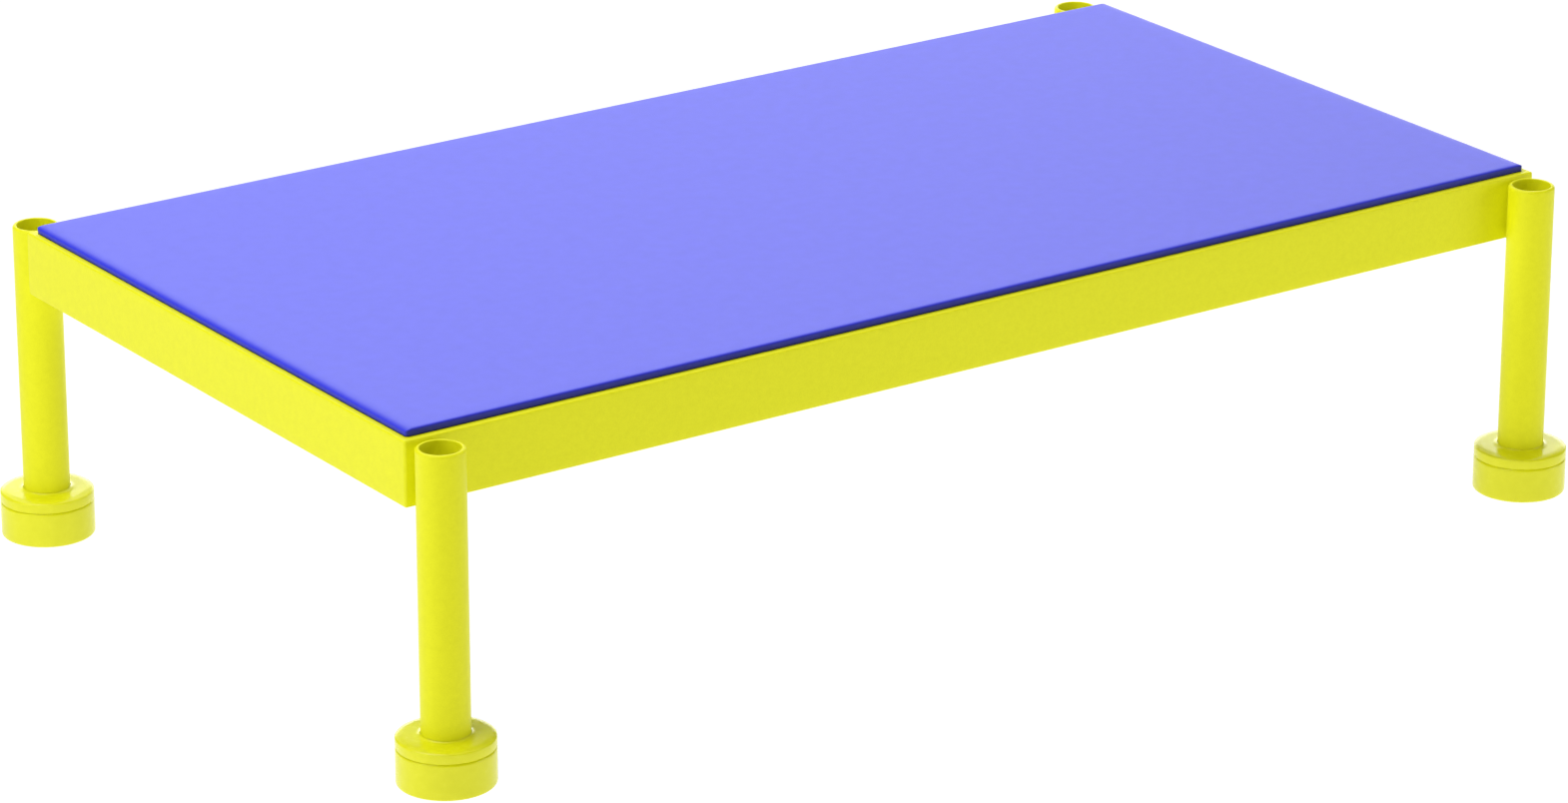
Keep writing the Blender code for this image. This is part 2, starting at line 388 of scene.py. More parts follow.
def crowned(section):
    """The outer face drawn in towards its top and bottom edges: by face_crown times the square of one
    less the distance from the edge over crown_width, fading to nothing across the rail's width."""
    y, z = section[:, 0], section[:, 1]
    from_edge = np.minimum(rail_top - z, z - rail_bottom)
    near = np.clip(1.0 - from_edge / crown_width, 0.0, 1.0) ** 2
    across = np.clip(1.0 - y / (rail_width / 2), 0.0, 1.0)
    return np.stack([y + face_crown * near * across, z], axis=-1)


def rail_surface(section, half, marks, arc_steps):
    """A section carried along a rail: straight rows at the marks, a sheared row before each mitre, then
    the share of the rounded corner up to the mitre plane, where x + y is the rail's half length."""
    y, z = section[:, 0], section[:, 1]
    straight = np.repeat(marks[:, None], len(y), axis=1)
    rows_x, rows_y = [straight], [np.repeat(y[None], len(marks), axis=0)]
    outside = y < corner_radius
    for angle in np.radians(np.linspace(0.0, 45.0, arc_steps + 1)):
        share = angle / math.radians(45.0)
        radius = corner_radius - y
        arc_x = half - corner_radius + radius * math.sin(angle)
        arc_y = corner_radius - radius * math.cos(angle)
        flat_x = half - y - mitre_run * (1.0 - share)
        rows_x.append(np.where(outside, arc_x, flat_x)[None])
        rows_y.append(np.where(outside, arc_y, y)[None])
    right_x, right_y = np.concatenate(rows_x), np.concatenate(rows_y)
    count = len(marks)
    left_x, left_y = -right_x[count:][::-1], right_y[count:][::-1]
    all_x = np.concatenate([left_x, right_x])
    all_y = np.concatenate([left_y, right_y])
    return np.stack([all_x, all_y, np.repeat(z[None], len(all_x), axis=0)], axis=-1)


slot_half = 0.0032
slot_top = hook_height + 0.0030
slot_bottom = hook_height - 0.0110
arc_steps = 8

for side, (_, half, _) in sides.items():
    places = spring_places(side)
    edges = np.sort(np.concatenate([places - slot_half, places + slot_half]))
    ends = np.array([-1.0, 1.0]) * (half - rail_width - straight_end)
    marks = np.sort(np.concatenate([edges, ends]))
    slot_marks = [slot_bottom, slot_top]
    outer = crowned(
        rounded_section(0.0, rail_width, rail_bottom, rail_top, rail_edge, outer_hold, slot_marks)
    )
    inner = rounded_section(
        rail_wall,
        rail_width - rail_wall,
        rail_bottom + rail_wall,
        rail_top - rail_wall,
        inner_edge,
        inner_hold,
        slot_marks,
    )
    shells = [rail_surface(section, half, marks, arc_steps) for section in (outer, inner)]
    rows, columns = shells[0].shape[:2]
    keep = np.ones((rows - 1, columns), bool)
    first = arc_steps + 1
    for k in range(len(places)):
        keep[first + 1 + 2 * k, 0] = False
    outside = grid_faces(rows, columns, wrap_columns=True, keep=keep)
    inside = grid_faces(rows, columns, wrap_columns=True, start=rows * columns, keep=keep)[:, ::-1]
    rims = []
    j = np.arange(columns)
    j2 = (j + 1) % columns
    step = rows * columns
    for row, forward in ((0, True), (rows - 1, False)):
        a, b = row * columns + j, row * columns + j2
        quad = np.stack([a, b, b + step, a + step], axis=-1)
        rims.append(quad if forward else quad[:, ::-1])
    for k in range(len(places)):
        i0 = first + 1 + 2 * k
        ring = np.array([i0 * columns, (i0 + 1) * columns, (i0 + 1) * columns + 1, i0 * columns + 1])
        after = np.roll(ring, -1)
        rims.append(np.stack([ring, after, after + step, ring + step], axis=-1)[:, ::-1])
    points = np.concatenate([shell.reshape(-1, 3) for shell in shells])
    rail = make_piece(
        "painted_rail_" + side,
        on_side(points, side),
        [outside, inside, *rims],
        powder_coat,
        smooth=35.0,
    )
    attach(rail, "frame")
    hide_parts("rail_" + side)


# ---------------------------------------------------------------- legs
# Four lengths of round steel tube, left open at the top with a rounded, deburred lip, and welded along
# the outer faces of the long rails at their ends.

corners = ("front_left", "front_right", "rear_left", "rear_right")
leg_outer = (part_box("leg_front_left")[1].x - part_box("leg_front_left")[0].x) / 2
leg_wall = 0.0045
leg_inner = leg_outer - leg_wall
leg_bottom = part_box("leg_front_left")[0].z
leg_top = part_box("leg_front_left")[1].z
lip_outside = 0.0030
lip_inside = 0.0010
lip_hold = 0.02
leg_around = 96


def leg_place(corner):
    """Where the middle of a leg stands on the floor."""
    low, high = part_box("leg_" + corner)
    return (low.x + high.x) / 2, (low.y + high.y) / 2


def arc_points(centre_r, centre_z, radius, start, end, steps):
    """A round edge of a turned profile, from one angle to another in degrees."""
    turn = np.radians(np.linspace(start, end, steps + 1))
    return np.stack([centre_r + radius * np.cos(turn), centre_z + radius * np.sin(turn)], axis=-1)


def turned(profile, around, place, closed):
    """A profile of radius and height turned about an upright axis, as a grid of points and its quads."""
    turn = np.linspace(0.0, 2 * math.pi, around, endpoint=False)[:, None]
    x = place[0] + profile[:, 0] * np.cos(turn)
    y = place[1] + profile[:, 0] * np.sin(turn)
    z = np.repeat(profile[None, :, 1], around, axis=0)
    points = np.stack([x, y, z], axis=-1).reshape(-1, 3)
    return points, grid_faces(around, len(profile), wrap_rows=True, wrap_columns=closed)


leg_profile = np.concatenate(
    [
        [(leg_inner, leg_bottom), (leg_outer, leg_bottom), (leg_outer, leg_top - lip_outside - lip_hold)],
        arc_points(leg_outer - lip_outside, leg_top - lip_outside, lip_outside, 0, 90, 8),
        arc_points(leg_inner + lip_inside, leg_top - lip_inside, lip_inside, 90, 180, 5),
        [(leg_inner, leg_top - lip_inside - lip_hold)],
    ]
)
for corner in corners:
    points, faces = turned(leg_profile, leg_around, leg_place(corner), True)
    leg = make_piece("leg_tube_" + corner, points, [faces], powder_coat, smooth=35.0)
    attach(leg, "frame")
    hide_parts("leg_" + corner)


# ---------------------------------------------------------------- welds
# A small bead of weld metal down both sides of each leg where the tube meets the rail, laid in short
# overlapping ripples and painted over with the frame.

bead_inner = 0.0040
bead_outer = 0.0112
bead_angle = math.radians(19.0)
bead_crown = 0.0005
ripple_pitch = 0.0030
ripple_depth = 0.07
bead_above_rail = 0.0015
bead_below_top = 0.0045
bead_taper = 0.0022
bead_rows = 84


def weld_bead(place, hand, rear):
    """One bead: a section from the rail's face to the tube with a crowned outer side, carried up the leg.
    Its size swells and shrinks as the absolute sine of height, once per ripple, and falls to nothing at
    both ends as a quarter circle."""
    low, high = rail_bottom + bead_above_rail, leg_top - bead_below_top
    height = np.linspace(low, high, bead_rows)
    stand = abs(place[1]) - half_width
    tube = np.array([leg_outer * math.sin(bead_angle), stand - leg_outer * math.cos(bead_angle)])
    foot = np.array([bead_outer, -0.0002])
    share = np.linspace(0.0, 1.0, 7)[:, None]
    chord = foot + (tube - foot) * share
    away = np.array([tube[1] - foot[1], foot[0] - tube[0]])
    away = away / np.linalg.norm(away)
    curve = chord + away * bead_crown * np.sin(math.pi * share)
    root = np.array([bead_inner, 0.0004])
    section = np.concatenate([curve, [root + (0.0, 0.0003)], [root - (0.0, 0.0004)]])
    from_end = np.minimum(height - low, high - height) / bead_taper
    taper = np.sqrt(1.0 - (1.0 - np.clip(from_end, 0.0, 1.0)) ** 2)
    swell = np.abs(np.sin(math.pi * (height - low) / ripple_pitch))
    ripple = 1.0 - ripple_depth + ripple_depth * swell
    scale = np.maximum(taper * ripple, 0.02)
    u = root[0] + (section[None, :, 0] - root[0]) * scale[:, None]
    v = root[1] + (section[None, :, 1] - root[1]) * scale[:, None]
    y_sign = 1.0 if rear else -1.0
    x = place[0] + hand * u
    y = y_sign * (half_width + v)
    z = np.repeat(height[:, None], section.shape[0], axis=1)
    return np.stack([x, y, z], axis=-1)


def closed_tube_faces(rows, columns, start=0):
    """Quads of a swept section that closes on itself, with a cap at each end."""
    side = grid_faces(rows, columns, wrap_columns=True, start=start)
    first = np.arange(columns)[::-1] + start
    last = np.arange(columns) + start + (rows - 1) * columns
    return side, [first], [last]


def joined(parts):
    """Points and faces of several shapes put into one list."""
    points, faces, count = [], [], 0
    for shape, blocks in parts:
        shape = np.asarray(shape).reshape(-1, 3)
        points.append(shape)
        faces += [np.asarray(block) + count for block in blocks]
        count += len(shape)
    return np.concatenate(points), faces


for corner in corners:
    place = leg_place(corner)
    rear = corner.startswith("rear")
    parts = []
    for hand in (-1.0, 1.0):
        bead = weld_bead(place, hand, rear)
        blocks = closed_tube_faces(*bead.shape[:2])
        turned_over = (hand > 0) == rear
        parts.append((bead, [np.asarray(b)[:, ::-1] for b in blocks] if turned_over else blocks))
    points, faces = joined(parts)
    weld = make_piece("weld_beads_" + corner, points, faces, powder_coat, smooth=50.0)
    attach(weld, "frame")


# ---------------------------------------------------------------- feet
# Moulded plastic feet. A drum with a socket takes the end of the leg, and a collar with a softly rolled
# outer edge sits on it, with a raised fillet round the tube. A fine seam shows between the two.

foot_outer = (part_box("foot_base_front_left")[1].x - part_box("foot_base_front_left")[0].x) / 2
foot_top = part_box("foot_collar_front_left")[1].z
neck_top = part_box("foot_base_front_left")[1].z
fit_gap = 0.0003
socket_radius = leg_outer + fit_gap
socket_floor = leg_bottom - fit_gap
neck_radius = foot_outer - 0.0050
seam_height = 0.0394
base_round = 0.0030
collar_round = 0.0008
roll_width = 0.0095
roll_depth = 0.0027
fillet_width = 0.0055
fillet_height = 0.0022

moulded_yellow = yellow_finish(
    "yellow_moulded_foot",
    low=(0.84, 0.84, 0.004),
    high=(0.91, 0.91, 0.012),
    roughness=0.26,
    specular=0.4,
    fine=1500.0,
    broad=90.0,
    depth=0.00006,
)

base_profile = np.concatenate(
    [
        [(0.0, 0.0), (foot_outer - 0.0060, 0.0)],
        arc_points(foot_outer - 0.0025, 0.0025, 0.0025, -90, 0, 6),
        [(foot_outer, 0.0060), (foot_outer, seam_height - base_round - 0.0030)],
        arc_points(foot_outer - base_round, seam_height - base_round, base_round, 0, 90, 8),
        [(neck_radius, seam_height), (neck_radius, neck_top), (socket_radius, neck_top)],
        [(socket_radius, socket_floor), (0.0, socket_floor)],
    ]
)
roll = np.radians(np.linspace(0.0, 90.0, 13))
fillet = np.radians(np.linspace(0.0, 90.0, 9))
collar_side = foot_top - roll_depth
collar_profile = np.concatenate(
    [
        [(socket_radius, neck_top + fit_gap), (neck_radius + fit_gap, neck_top + fit_gap)],
        [(neck_radius + fit_gap, seam_height + fit_gap)],
        arc_points(
            foot_outer - collar_round, seam_height + fit_gap + collar_round, collar_round, -90, 0, 4
        ),
        [(foot_outer, collar_side - 0.0020)],
        np.stack(
            [
                foot_outer - roll_width * (1.0 - np.cos(roll)),
                collar_side + roll_depth * np.sin(roll),
            ],
            axis=-1,
        ),
        [(foot_outer - roll_width - 0.0020, foot_top), (socket_radius + fillet_width + 0.0015, foot_top)],
        np.stack(
            [
                socket_radius + fillet_width * (1.0 - np.sin(fillet)),
                foot_top + fillet_height * (1.0 - np.cos(fillet)),
            ],
            axis=-1,
        ),
    ]
)
foot_around = 144
foot_pieces = (
    ("foot_drum_", "foot_base_", base_profile, False),
    ("foot_ring_", "foot_collar_", collar_profile, True),
)
for corner in corners:
    for piece_name, node, profile, closed in foot_pieces:
        points, faces = turned(profile, foot_around, leg_place(corner), closed)
        piece = make_piece(piece_name + corner, points, [faces], moulded_yellow, smooth=35.0)
        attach(piece, "frame")
        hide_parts(node + corner)


# ---------------------------------------------------------------- springs
# Closed-wound extension springs of zinc-plated wire. One hook reaches through the slot in the rail and
# the other pulls on a ring in the mat's hem.

wire_radius = 0.0015
coil_radius = 0.0055
coil_turns = 21
hook_bend = 0.004
hook_tail = 0.0075
hook_reach = 0.008
shank = 0.0145
shoulder = 0.0040
eye_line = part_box("hem_front")[0].y + half_width + 0.006
eye = eye_line - hook_line


def math_node(tree, operation, first, second=None, third=None):
    """A Math node, each of whose inputs is another node's output or a number."""
    node = tree.nodes.new("ShaderNodeMath")
    node.operation = operation
    for socket, value in zip(node.inputs, (first, second, third)):
        if isinstance(value, (int, float)):
            socket.default_value = value
        elif value is not None:
            tree.links.new(value, socket)
    return node.outputs[0]


def zinc_finish():
    """Bright zinc plate: a faintly blue grey metal, spangled in colour and in gloss."""
    material, tree, shader = new_material("zinc_plated_steel")
    grain = add_grain(tree, 2600.0, 420.0)
    colour = tinted(tree, grain.outputs["Tint"], (0.47, 0.49, 0.52), (0.74, 0.75, 0.77))
    tree.links.new(colour, shader.inputs["Base Color"])
    tree.links.new(ranged(tree, grain.outputs["Tint"], 0.20, 0.42), shader.inputs["Roughness"])
    shader.inputs["Metallic"].default_value = 1.0
    bump(tree, shader, grain.outputs["Height"], 0.00004, 0.3)
    return material


zinc = zinc_finish()


def spring_path():
    """The wire's middle line, in the row's space from the hook line, with the angle round the coil.
    Each hook is a straight tail and a quarter circle. Between the shanks the wire runs out to the coil
    radius over one turn as a smooth step, winds at an even pitch, and runs back in over the last turn."""
    quarter = np.radians(np.linspace(180.0, 90.0, 7))
    hook_y = np.concatenate([[-hook_reach] * 2, -hook_reach + hook_bend + hook_bend * np.cos(quarter)])
    hook_z = np.concatenate([[-hook_tail, -hook_bend - 0.001], -hook_bend + hook_bend * np.sin(quarter)])
    start, end = shank - shoulder, eye - shank + shoulder
    turn = np.linspace(0.0, coil_turns * 2 * math.pi, coil_turns * 16 + 1)
    edge = np.clip(np.minimum(turn, turn[-1] - turn) / (0.75 * 2 * math.pi), 0.0, 1.0)
    radius = coil_radius * edge * edge * (3.0 - 2.0 * edge)
    wound = start + (end - start) * turn / turn[-1]
    y = np.concatenate([hook_y, [start - 0.003], wound, [end + 0.003], eye - hook_reach - hook_y[::-1]])
    z = np.concatenate([hook_z, [0.0], radius * np.sin(turn), [0.0], hook_z[::-1]])
    x = np.zeros_like(y)
    first = len(hook_y) + 1
    x[first : first + len(turn)] = radius * np.cos(turn)
    angle = np.zeros_like(y)
    angle[first : first + len(turn)] = turn
    angle[first + len(turn) :] = turn[-1]
    return np.stack([x, y, z], axis=-1), angle


def tube_round(path, outward, radius, around):
    """A round tube along a path. Its sections stand square to the path, turned from the outward way."""
    along = np.gradient(path, axis=0)
    along /= np.linalg.norm(along, axis=1)[:, None]
    first = outward - (outward * along).sum(axis=1)[:, None] * along
    first /= np.linalg.norm(first, axis=1)[:, None]
    second = np.cross(along, first)
    turn = np.linspace(0.0, 2 * math.pi, around, endpoint=False)
    wide = np.broadcast_to(radius, len(path))[:, None, None]
    ring = np.cos(turn)[None, :, None] * first[:, None] + np.sin(turn)[None, :, None] * second[:, None]
    return path[:, None] + wide * ring


wire_line, wire_angle = spring_path()
wire_out = np.stack([np.cos(wire_angle), np.zeros_like(wire_angle), np.sin(wire_angle)], axis=-1)
wire_grid = tube_round(wire_line, wire_out, wire_radius, 8)

for side in sides:
    for name, along in zip(spring_names(side), spring_places(side)):
        place = wire_grid + np.array([along, hook_line, hook_height])
        blocks = closed_tube_faces(*wire_grid.shape[:2])
        spring = make_piece("coil_" + name, on_side(place, side), blocks, zinc, smooth=60.0)
        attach(spring, "spring_row_" + side)
        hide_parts(name)


# ---------------------------------------------------------------- hems
# Black webbing folded round the rings and sewn along the mat's edge, one length for each side, mitred
# at the corners. A V-ring of plated wire for each spring sits in the fold.

hem_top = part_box("hem_front")[1].z
hem_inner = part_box("hem_front")[1].y + half_width
hem_outer = hem_inner - 0.025
hem_thickness = 0.0020
fold_radius = 0.0024
fold_height = hem_top - fold_radius + 0.0006
hem_end_gap = 0.0002
hem_seam_end = 0.006
ring_wire = 0.0013
ring_half = 0.0095
ring_apex = eye_line - wire_radius - ring_wire
ring_base = hem_outer + fold_radius
stitch_pitch = 0.0046
stitch_half = (0.0016, 0.00045, 0.00035)
hem_seams = (hem_outer + 0.0080, hem_inner - 0.0045)
ring_bend = 0.0019


def make_weave_group():
    """Plain weave. Warp and weft are rounded ridges, the absolute cosines of u and v, and each passes
    over the other in turn by the product of the two. Height is the higher ridge. Over is 1 on warp."""
    group, inside, outside = new_group("plain_weave", ("Threads per metre",), ("Height", "Over"))
    place = group.nodes.new("ShaderNodeTexCoord")
    split = group.nodes.new("ShaderNodeSeparateXYZ")
    group.links.new(place.outputs["Object"], split.inputs[0])
    half_turns = math_node(group, "MULTIPLY", inside.outputs[0], math.pi)
    waves = []
    for axis in ("X", "Y"):
        turns = math_node(group, "MULTIPLY", split.outputs[axis], half_turns)
        waves.append(math_node(group, "COSINE", turns))
    product = math_node(group, "MULTIPLY", waves[0], waves[1])
    warp_over = math_node(group, "MULTIPLY_ADD", product, 0.5, 0.5)
    weft_over = math_node(group, "MULTIPLY_ADD", product, -0.5, 0.5)
    warp = math_node(group, "MULTIPLY", math_node(group, "ABSOLUTE", waves[0]), warp_over)
    weft = math_node(group, "MULTIPLY", math_node(group, "ABSOLUTE", waves[1]), weft_over)
    group.links.new(math_node(group, "MAXIMUM", warp, weft), outside.inputs["Height"])
    group.links.new(math_node(group, "GREATER_THAN", warp, weft), outside.inputs["Over"])
    return group


weave_group = make_weave_group()


def woven_finish(name, threads, low, high, sheen, depth):
    """A woven cloth: threads in relief, with painted shade between them, a slightly uneven dye and a soft
    sheen.
    """
    material, tree, shader = new_material(name)
    weave = tree.nodes.new("ShaderNodeGroup")
    weave.node_tree = weave_group
    weave.inputs["Threads per metre"].default_value = threads
    grain = add_grain(tree, threads * 2.5, threads * 0.12)
    # Painted shade: the colour is darker where the weave is low, between the threads.
    shade = math_node(tree, "MULTIPLY_ADD", weave.outputs["Height"], 0.6, 0.1)
    uneven = math_node(tree, "MULTIPLY_ADD", grain.outputs["Tint"], 0.5, shade)
    warp_lift = math_node(tree, "MULTIPLY_ADD", weave.outputs["Over"], 0.08, uneven)
    tree.links.new(tinted(tree, warp_lift, low, high, (0.2, 1.0)), shader.inputs["Base Color"])
    tree.links.new(ranged(tree, weave.outputs["Height"], 0.85, 0.55), shader.inputs["Roughness"])
    shader.inputs["Sheen Weight"].default_value = sheen
    shader.inputs["Sheen Roughness"].default_value = 0.5
    bump(tree, shader, weave.outputs["Height"], depth, 0.8)
    return material


webbing = woven_finish(
    "black_webbing",
    threads=900.0,
    low=(0.004, 0.004, 0.005),
    high=(0.035, 0.035, 0.038),
    sheen=0.25,
    depth=0.0004,
)


def hem_strip(half):
    """The strip's section, a thin flat band with a round fold along its outer edge, run between mitres."""
    low = hem_top - hem_thickness
    start = math.asin((hem_top - fold_height) / fold_radius * 0.98)
    turn = np.linspace(start, 2 * math.pi - 0.35, 17)
    fold = np.stack(
        [ring_base + fold_radius * np.cos(turn), fold_height + fold_radius * np.sin(turn)], axis=-1
    )
    section = np.concatenate([fold, [(ring_base + 0.005, low), (hem_inner, low), (hem_inner, hem_top)]])
    section = np.concatenate([section, [(ring_base + 0.006, hem_top)]])
    share = np.linspace(-1.0, 1.0, 41)[:, None]
    x = share * (half - section[None, :, 0] - hem_end_gap)
    y = np.repeat(section[None, :, 0], len(share), axis=0)
    z = np.repeat(section[None, :, 1], len(share), axis=0)
    return np.stack([x, y, z], axis=-1)


def ring_line():
    """A triangle with rounded corners, its base in the fold and its point on the spring's hook."""
    corners_at = np.array([(-ring_half, ring_base), (ring_half, ring_base), (0.0, ring_apex)])
    parts = []
    for i in range(3):
        here, before, after = corners_at[i], corners_at[i - 1], corners_at[(i + 1) % 3]
        a = (before - here) / np.linalg.norm(before - here)
        b = (after - here) / np.linalg.norm(after - here)
        half_angle = math.acos(float(a @ b)) / 2
        middle = here + (a + b) / np.linalg.norm(a + b) * ring_bend / math.sin(half_angle)
        start = math.atan2(*(here + a * ring_bend / math.tan(half_angle) - middle)[::-1])
        sweep = math.pi - 2 * half_angle
        turn = start + np.linspace(0.0, sweep, 7)
        parts.append(middle + ring_bend * np.stack([np.cos(turn), np.sin(turn)], axis=-1))
    line = np.concatenate(parts)
    return np.concatenate([line, np.full((len(line), 1), fold_height)], axis=1)


def ring_grid():
    """The ring's wire: a circle swept round the closed line, which lies flat."""
    line = ring_line()
    along = np.roll(line, -1, axis=0) - np.roll(line, 1, axis=0)
    along /= np.linalg.norm(along, axis=1)[:, None]
    first = np.cross(along, (0.0, 0.0, 1.0))
    turn = np.linspace(0.0, 2 * math.pi, 10, endpoint=False)[None, :, None]
    up = np.array((0.0, 0.0, 1.0))
    return line[:, None] + ring_wire * (np.cos(turn) * first[:, None] - np.sin(turn) * up)


def stitch_row(start, end, y, z):
    """A row of stitches: small ellipsoids on a line along x, each a sphere stretched along the seam."""
    count = max(int((end - start) / stitch_pitch), 1)
    centre = np.linspace(start, end, count + 1)
    centre = (centre[:-1] + centre[1:]) / 2
    down = np.linspace(0.0, math.pi, 5)
    round_ = np.linspace(0.0, 2 * math.pi, 6, endpoint=False)
    ball = np.stack(
        [
            np.repeat(np.cos(down)[:, None], 6, axis=1) * stitch_half[0],
            np.sin(down)[:, None] * np.cos(round_)[None] * stitch_half[1],
            np.sin(down)[:, None] * np.sin(round_)[None] * stitch_half[2],
        ],
        axis=-1,
    ).reshape(-1, 3)
    quads = grid_faces(5, 6, wrap_columns=True)
    places = np.stack([centre, np.full(count, y), np.full(count, z)], axis=-1)
    points = (places[:, None] + ball[None]).reshape(-1, 3)
    faces = (quads[None] + (np.arange(count) * len(ball))[:, None, None]).reshape(-1, 4)
    return points, [faces]


for side, (_, half, _) in sides.items():
    strip = hem_strip(half)
    band = make_piece(
        "hem_webbing_" + side,
        on_side(strip, side),
        closed_tube_faces(*strip.shape[:2]),
        webbing,
        smooth=35.0,
    )
    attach(band, "spring_row_" + side)
    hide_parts("hem_" + side)

    ring = ring_grid()
    ring_faces = grid_faces(*ring.shape[:2], wrap_rows=True, wrap_columns=True)
    parts = [(ring + np.array([x, 0.0, 0.0]), [ring_faces]) for x in spring_places(side)]
    points, faces = joined(parts)
    rings = make_piece("v_rings_" + side, on_side(points, side), faces, zinc, smooth=60.0)
    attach(rings, "spring_row_" + side)

    parts = []
    for y in hem_seams:
        reach = half - y - hem_seam_end
        parts.append(stitch_row(-reach, reach, y, hem_top - hem_thickness))
    points, faces = joined(parts)
    seam = make_piece("hem_stitching_" + side, on_side(points, side), faces, webbing, smooth=60.0)
    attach(seam, "spring_row_" + side)


# ---------------------------------------------------------------- jump mat
# One sheet of black woven polypropylene, stretched level by the springs. Its border is lapped over the
# hem and sewn down with three rows of stitching.

inside_length = half_length - rail_width
inside_width = half_width - rail_width
mat_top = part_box("jump_mat")[1].z
mat_thickness = 0.0012
lap_start = hem_inner - rail_width + 0.0030
lap_end = lap_start + 0.0120
lap_edge = hem_outer - rail_width + 0.0060
lap_lift = 0.0003
mat_pitch = 0.012
mat_seam_end = 0.002
lap_outer = rail_width + lap_edge
mat_seam_lines = (lap_outer + 0.0030, lap_outer + 0.0090, hem_inner - 0.0030)


def smooth_step(value, low, high):
    """Nought below low, one above high, and three t squared minus two t cubed between."""
    t = np.clip((value - low) / (high - low), 0.0, 1.0)
    return t * t * (3.0 - 2.0 * t)


def follow_bed(piece):
    """Bakes a soft piece's transform into its mesh and reads out its points, which it leaves as they are.
    """
    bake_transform(piece)
    points = np.empty(len(piece.data.vertices) * 3, np.float32)
    piece.data.vertices.foreach_get("co", points)
    points = points.reshape(-1, 3).astype(float)


def spread(edges, half, pitch):
    """Grid lines across a sheet: the wanted distances from both edges, then an even pitch between."""
    edges = np.asarray(edges)
    inner = half - edges[-1]
    between = np.linspace(-inner, inner, max(int(2 * inner / pitch), 2) + 1)
    return np.concatenate([-half + edges[:-1], between, (half - edges[:-1])[::-1]])


def mat_lift(x, y):
    """The mat's under side above its level: a lap over the hem, eased down just inside it."""
    s = np.minimum(inside_length - np.abs(x), inside_width - np.abs(y))
    lapped = hem_top + lap_lift
    flat = mat_top - mat_thickness
    return lapped + (flat - lapped) * smooth_step(s, lap_start, lap_end)


def edge_loop(rows, columns):
    """The numbers of a grid's outermost points, in order round its four edges."""
    index = np.arange(rows * columns).reshape(rows, columns)
    return np.concatenate([index[0, :-1], index[:-1, -1], index[-1, :0:-1], index[:0:-1, 0]])


def sheet_grid(xs, ys, low, high):
    """A closed sheet from two height functions over a grid, with its four edges walled."""
    x, y = np.meshgrid(xs, ys, indexing="ij")
    top = np.stack([x, y, high(x, y)], axis=-1)
    under = np.stack([x, y, low(x, y)], axis=-1)
    rows, columns = x.shape
    count = rows * columns
    faces = [grid_faces(rows, columns), grid_faces(rows, columns, start=count)[:, ::-1]]
    loop = edge_loop(rows, columns)
    after = np.roll(loop, -1)
    faces.append(np.stack([loop, after, after + count, loop + count], axis=-1))
    return np.concatenate([top.reshape(-1, 3), under.reshape(-1, 3)]), faces


mat_cloth = woven_finish(
    "black_mat_weave",
    threads=620.0,
    low=(0.003, 0.003, 0.004),
    high=(0.030, 0.030, 0.034),
    sheen=0.1,
    depth=0.0005,
)
mat_half_x = inside_length - lap_edge
mat_half_y = inside_width - lap_edge
lap_width = lap_start - lap_edge
lap_steps = [0.002, 0.004, 0.006, 0.008, 0.010, 0.012, 0.016, 0.024]
lap_lines = np.concatenate([np.linspace(0.0, lap_width, 4), lap_width + np.array(lap_steps)])
mat_points, mat_faces = sheet_grid(
    spread(lap_lines, mat_half_x, mat_pitch),
    spread(lap_lines, mat_half_y, mat_pitch),
    mat_lift,
    lambda x, y: mat_lift(x, y) + mat_thickness,
)
mat = make_piece("woven_mat", mat_points, mat_faces, mat_cloth, smooth=40.0)
follow_bed(mat)
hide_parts("jump_mat")

parts = []
for side, (_, half, _) in sides.items():
    for y in mat_seam_lines:
        reach = half - y - mat_seam_end
        points, faces = stitch_row(-reach, reach, y, hem_top + lap_lift + mat_thickness)
        parts.append((on_side(points, side), faces))
points, faces = joined(parts)
mat_seams = make_piece("mat_stitching", points, faces, webbing, smooth=60.0)
follow_bed(mat_seams)


# ---------------------------------------------------------------- cover pad
# A thin foam pad in blue vinyl that covers rails, springs and mat in one piece. The vinyl is drawn
# tight over the foam with rolled edges, softer at the two ends, and tucked in at the foot of its sides.

pad_low, pad_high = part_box("pad_front")
pad_top = pad_high.z
pad_bottom = pad_low.z
pad_corner = 0.0040
inset_x = 0.0005
inset_y = 0.0015
wall_half_x = -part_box("pad_left")[0].x - inset_x
wall_half_y = -pad_low.y - inset_y
slow_fall = (0.0100, 0.0004)
long_roll = (0.0030, 0.0028)
end_roll = (0.0125, 0.0032)
tuck = 0.0005
foam_wave = 0.00012
mat_gap = 0.0004
cover_pitch = 0.0125
drop_start = hem_inner - rail_width - 0.0050
drop_end = drop_start + 0.0250


def edge_drop(distance, width, depth):
    """How far the top falls near an edge: a quarter ellipse of the given width and depth, on top of a
    slow fall that goes as the square of how far in the point lies."""
    slow = slow_fall[1] * np.clip(1.0 - distance / slow_fall[0], 0.0, 1.0) ** 2
    t = np.clip(1.0 - distance / width, 0.0, 1.0)
    return slow + depth * (1.0 - np.sqrt(np.maximum(1.0 - t * t, 0.0)))


def pad_upper(x, y):
    """The top of the cover: level, less the rolls of the ends and of the long sides, and a very slight
    unevenness of the foam."""
    ends = edge_drop(wall_half_x - np.abs(x), *end_roll)
    longs = edge_drop(wall_half_y - np.abs(y), *long_roll)
    s = np.minimum(inside_length - np.abs(x), inside_width - np.abs(y))
    wave = np.sin(23.0 * x + 1.7 * np.sin(9.0 * y)) * np.cos(31.0 * y - 1.1)
    foam = foam_wave * (1.0 + wave) / 2
    return pad_top - (ends**3 + longs**3) ** (1 / 3) - foam * smooth_step(s, -0.02, 0.03)


